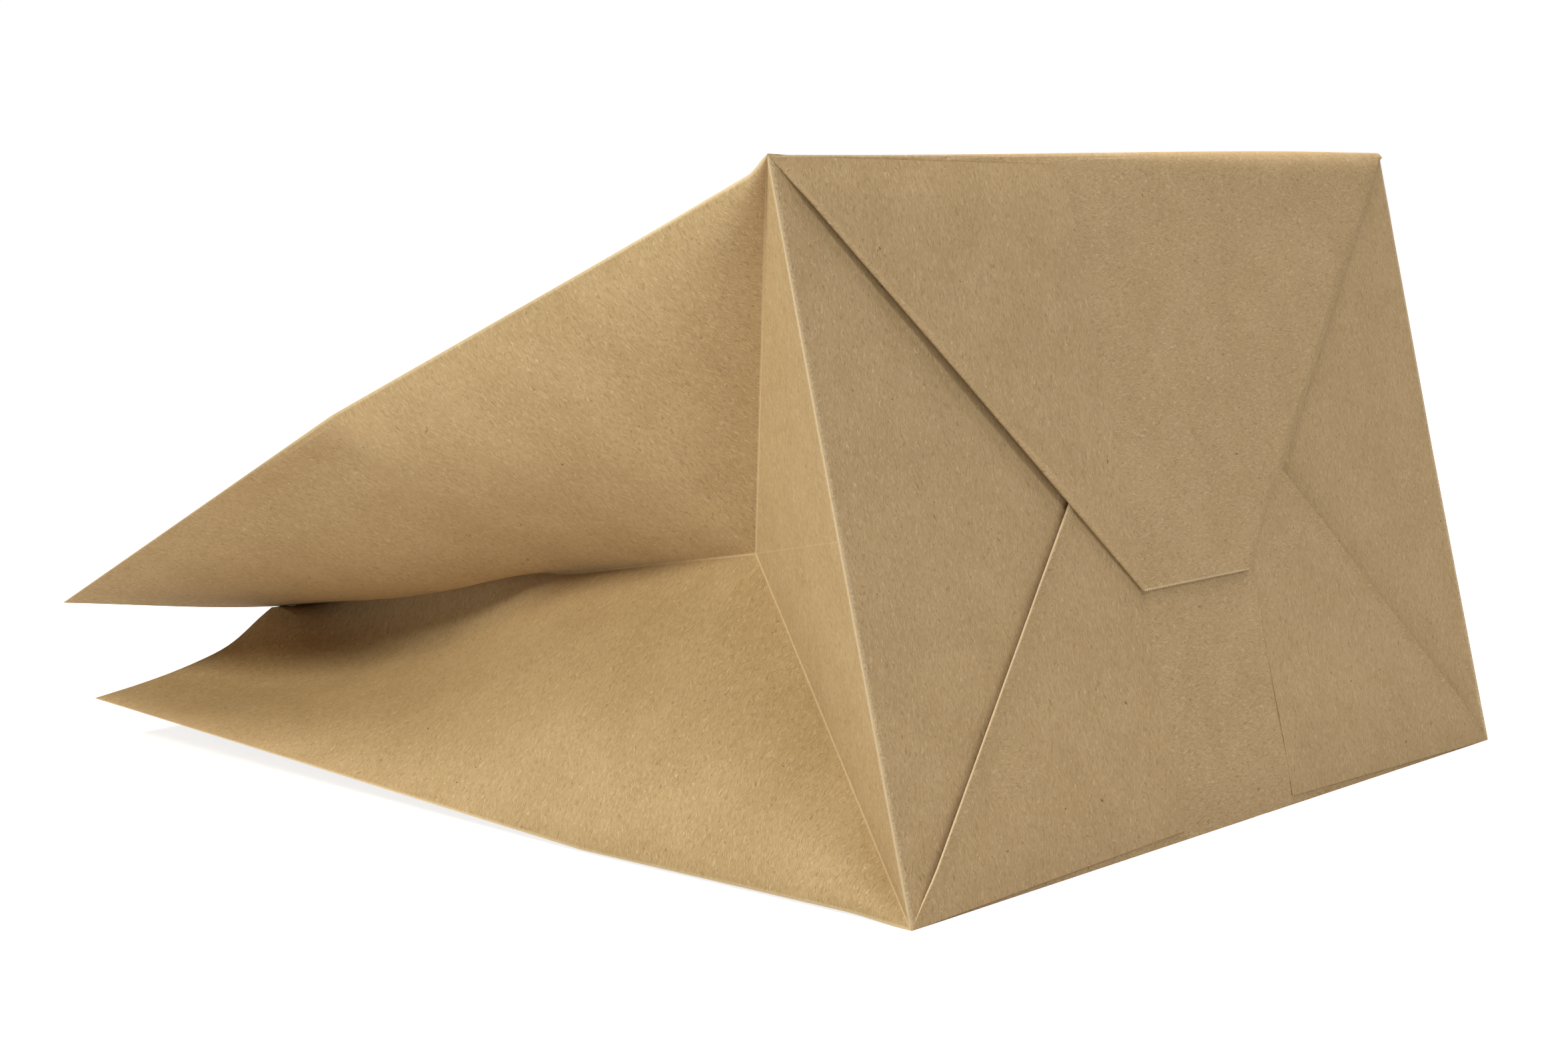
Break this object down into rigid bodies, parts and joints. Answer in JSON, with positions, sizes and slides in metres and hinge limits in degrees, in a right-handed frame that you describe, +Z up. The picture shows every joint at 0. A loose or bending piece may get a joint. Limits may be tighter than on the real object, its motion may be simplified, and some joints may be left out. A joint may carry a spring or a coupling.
{
  "type": "paper carrier bag",
  "caption": "Block-bottomed kraft paper bag with side gussets and a folded, glued base, lying on its back panel with the mouth nearly closed.",
  "frame": {"origin": "on the floor, under the middle of the bag's bounding box", "axes": "+X across the bag's width, +Y from the base to the mouth, +Z up; the bag lies on its back panel"},
  "size_m": [0.3164, 0.3606, 0.194],
  "materials": {
    "kraft_paper": "matt unbleached kraft"
  },
  "bodies": {
    "root": {"paper_bag": "kraft_paper"}
  },
  "joints": []
}
